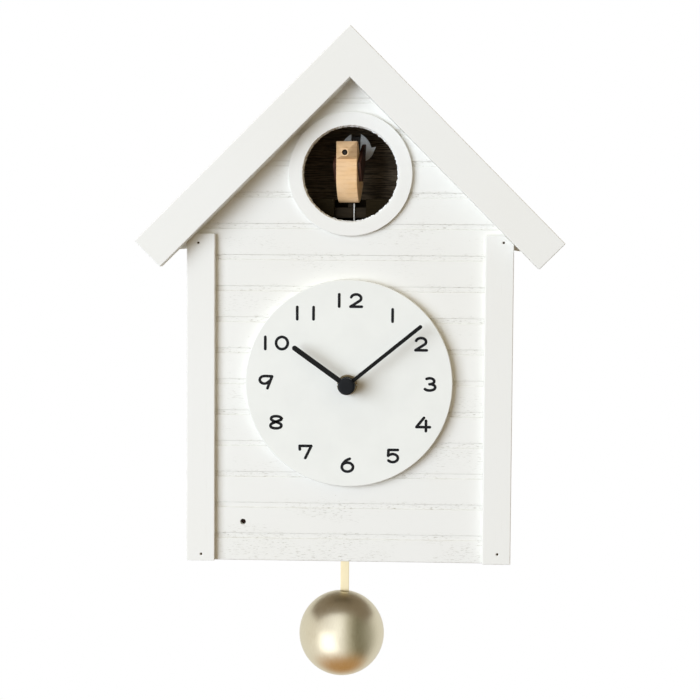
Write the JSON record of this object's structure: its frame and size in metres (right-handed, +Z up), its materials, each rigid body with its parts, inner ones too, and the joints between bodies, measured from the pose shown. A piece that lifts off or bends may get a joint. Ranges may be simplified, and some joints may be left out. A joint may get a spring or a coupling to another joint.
{
  "type": "cuckoo clock",
  "caption": "White wooden wall cuckoo clock shaped like a bird house, with a round dial, a bird behind a round hole, whistle bellows and a ball pendulum.",
  "frame": {"origin": "centre of the hanger plate's round hole, in the plane of the wall behind it", "axes": "+X to the viewer's right, -Y out of the dial, +Y into the wall, +Z up"},
  "size_m": [0.24, 0.1056, 0.3756],
  "materials": {
    "white_paint": "satin off-white paint over open-pored wood",
    "dial_white": "smooth matt white paint",
    "raw_board": "unpainted fibreboard",
    "stained_wood": "dark brown stain, horizontal grain",
    "pine": "plain planed wood",
    "maple": "oiled, fine end grain lines",
    "walnut": "oiled",
    "ebony": "polished",
    "brad_steel": "dull",
    "zinc_steel": "zinc plated",
    "brass": "plain",
    "pale_brass": "lacquered strip",
    "satin_ball": "satin champagne plating with fine upright brushing",
    "black_plastic": "fine matt",
    "dark_grey_plastic": "fine matt",
    "ivory_plastic": "moulded",
    "circuit_green": "solder mask",
    "bellows_paper": "folded paper",
    "cell_sleeve": "plain sleeve",
    "wire_red": "insulation",
    "tail_grey": "matt grey",
    "thread_white": "twisted thread",
    "black_enamel": "semi-matt black",
    "black_gloss": "polished black"
  },
  "bodies": {
    "case": {"roof_left": "white_paint", "roof_right": "white_paint", "bargeboards": "white_paint", "front_panel": "white_paint", "corner_trims": "white_paint", "trim_brads": "brad_steel", "left_side": "white_paint", "right_side": "white_paint", "bottom_panel": "white_paint", "back_panel": "raw_board", "hanger_plate": "zinc_steel", "hanger_screws": "zinc_steel", "bird_ring": "white_paint", "dial": "dial_white", "chamber_shelf": "stained_wood", "chamber_back": "stained_wood", "chamber_sides": "stained_wood", "bird_bracket": "stained_wood", "movement_front": "black_plastic", "movement_back": "black_plastic", "mount_bush": "brass", "bush_nut": "brass", "quartz_module": "circuit_green", "mechanism_plate": "zinc_steel", "pivot_pins": "zinc_steel", "gear_motor": "dark_grey_plastic", "left_pipe": "pine", "right_pipe": "pine", "left_bellows_folds": "bellows_paper", "right_bellows_folds": "bellows_paper", "pendulum_drive": "black_plastic", "battery_holder": "black_plastic", "batteries": "cell_sleeve", "battery_contacts": "zinc_steel", "light_sensor": "black_plastic", "sensor_wire": "wire_red", "switch_housing": "black_plastic", "door_hinges": "brass"},
    "minute": {"minute_hand": "black_enamel", "hand_cap": "black_gloss", "minute_arbor": "brass"},
    "hour": {"hour_hand": "black_enamel", "hour_wheel": "brass"},
    "minute_wheel": {"minute_wheel": "brass", "setting_knob": "ivory_plastic"},
    "pendulum": {"pendulum_arm": "ivory_plastic", "pendulum_rod": "pale_brass", "pendulum_ball": "satin_ball"},
    "bird": {"bird_body": "maple", "bird_wings": "walnut", "bird_beak": "ebony", "bird_tail": "tail_grey"},
    "thread": {"pull_thread": "thread_white"},
    "bow_lever": {"bow_lever": "zinc_steel"},
    "left_bellows": {"left_bellows_top": "pine"},
    "right_bellows": {"right_bellows_top": "pine"},
    "cam": {"cam_wheel": "ivory_plastic"},
    "door": {"rear_door": "raw_board", "door_leaves": "brass"},
    "switch": {"switch_slider": "ivory_plastic"}
  },
  "joints": [
    {"name": "minute_hand_spin", "type": "hinge", "parent": "case", "child": "minute", "pos_m": [-0.0008, -0.094, -0.125], "axis": [0, 1, 0], "continuous": true},
    {"name": "hour_hand_spin", "type": "hinge", "parent": "case", "child": "hour", "pos_m": [-0.0008, -0.088, -0.125], "axis": [0, 1, 0], "continuous": true},
    {"name": "minute_wheel_spin", "type": "hinge", "parent": "case", "child": "minute_wheel", "pos_m": [0.0082, -0.07, -0.125], "axis": [0, 1, 0], "continuous": true},
    {"name": "pendulum_swing", "type": "hinge", "parent": "case", "child": "pendulum", "pos_m": [-0.0035, -0.05, -0.16], "axis": [0, 1, 0], "range_deg": [-8, 8]},
    {"name": "left_bellows_lift", "type": "hinge", "parent": "case", "child": "left_bellows", "pos_m": [0, -0.016, -0.05], "axis": [-1, 0, 0], "range_deg": [0, 9], "deforming": ["left_bellows_folds"]},
    {"name": "right_bellows_lift", "type": "hinge", "parent": "case", "child": "right_bellows", "pos_m": [0, -0.016, -0.05], "axis": [-1, 0, 0], "range_deg": [0, 9], "deforming": ["right_bellows_folds"]},
    {"name": "bow_lever_swing", "type": "hinge", "parent": "case", "child": "bow_lever", "pos_m": [0.0066, -0.0726, -0.045], "axis": [0, -1, 0], "range_deg": [0, 11.6]},
    {"name": "bird_bow", "type": "hinge", "parent": "case", "child": "bird", "pos_m": [-0.00049, -0.06713, -0.0161], "axis": [0.9816, -0.1908, 0], "range_deg": [0, 11.6]},
    {"name": "thread_pull", "type": "slide", "parent": "case", "child": "thread", "axis": [0, 0, -1], "range_m": [0, 0.00102]},
    {"name": "cam_spin", "type": "hinge", "parent": "case", "child": "cam", "pos_m": [0, -0.064, -0.0607], "axis": [0, 1, 0], "continuous": true},
    {"name": "rear_door_swing", "type": "hinge", "parent": "case", "child": "door", "pos_m": [-0.0338, -0.0025, -0.13], "axis": [0, 0, 1], "range_deg": [0, 110]},
    {"name": "switch_slide", "type": "slide", "parent": "case", "child": "switch", "axis": [1, 0, 0], "range_m": [0, 0.004]}
  ],
  "couplings": [
    {"joint": "hour_hand_spin", "follows": "minute_hand_spin", "ratio": 0.083333},
    {"joint": "minute_wheel_spin", "follows": "minute_hand_spin", "ratio": -0.33333},
    {"joint": "bow_lever_swing", "follows": "right_bellows_lift", "ratio": 1.28},
    {"joint": "bird_bow", "follows": "right_bellows_lift", "ratio": 1.28},
    {"joint": "thread_pull", "follows": "right_bellows_lift", "m_per_rad": 0.0064}
  ]
}
